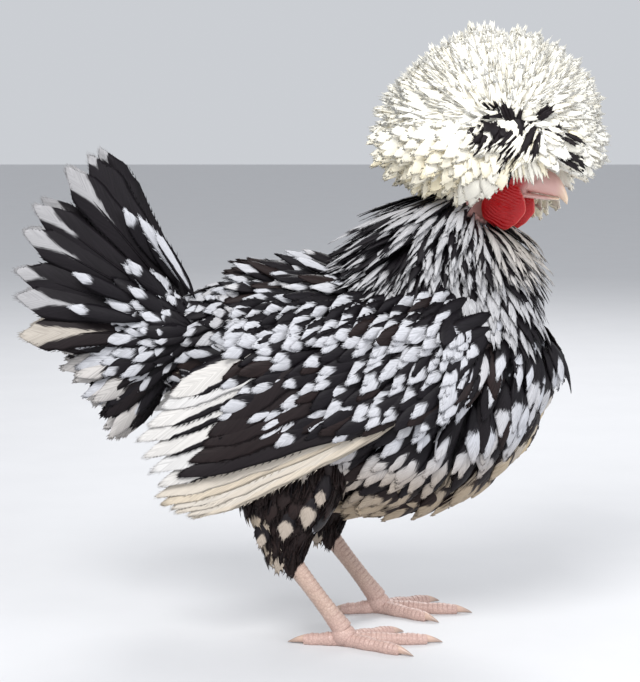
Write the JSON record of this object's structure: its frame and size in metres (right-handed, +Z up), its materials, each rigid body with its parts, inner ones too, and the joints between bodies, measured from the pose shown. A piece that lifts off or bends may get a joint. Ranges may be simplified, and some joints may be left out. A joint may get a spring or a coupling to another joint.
{
  "type": "polish crested hen",
  "caption": "Standing crested hen at life size: globe crest, wattles, ruffled hackle, folded wings, fanned tail, scaled legs and spread toes.",
  "frame": {"origin": "on the floor under the middle of the bird's outline, with the flats under the toes at z = 0", "axes": "+X is the way the breast faces, +Y is the bird's left, +Z is up"},
  "size_m": [0.392, 0.147, 0.4061],
  "materials": {
    "mottled_feather": "matt, black with white tips",
    "black_feather": "satin black, white at the tips",
    "crest_feather": "soft, white to cream",
    "skin_red": "fine folds, satin",
    "bill_horn": "smooth pale pink horn",
    "leg_scale": "overlapping scales, pale pink",
    "claw_horn": "smooth horn",
    "eye_dark": "wet gloss",
    "earlobe_white": "matt white skin"
  },
  "bodies": {
    "root": {"bill_lower": "bill_horn", "bill_upper": "bill_horn", "claw_hind_L": "claw_horn", "claw_hind_R": "claw_horn", "claw_inner_L": "claw_horn", "claw_inner_R": "claw_horn", "claw_middle_L": "claw_horn", "claw_middle_R": "claw_horn", "claw_outer_L": "claw_horn", "claw_outer_R": "claw_horn", "comb": "skin_red", "crest": "crest_feather", "earlobe_L": "earlobe_white", "earlobe_R": "earlobe_white", "eye_L": "eye_dark", "eye_R": "eye_dark", "head": "skin_red", "neck": "mottled_feather", "shank_L": "leg_scale", "shank_R": "leg_scale", "tail": "black_feather", "thigh_L": "black_feather", "thigh_R": "black_feather", "toe_hind_L": "leg_scale", "toe_hind_R": "leg_scale", "toe_inner_L": "leg_scale", "toe_inner_R": "leg_scale", "toe_middle_L": "leg_scale", "toe_middle_R": "leg_scale", "toe_outer_L": "leg_scale", "toe_outer_R": "leg_scale", "torso": "mottled_feather", "wattle_L": "skin_red", "wattle_R": "skin_red", "wing_L": "mottled_feather", "wing_R": "mottled_feather"}
  },
  "joints": []
}
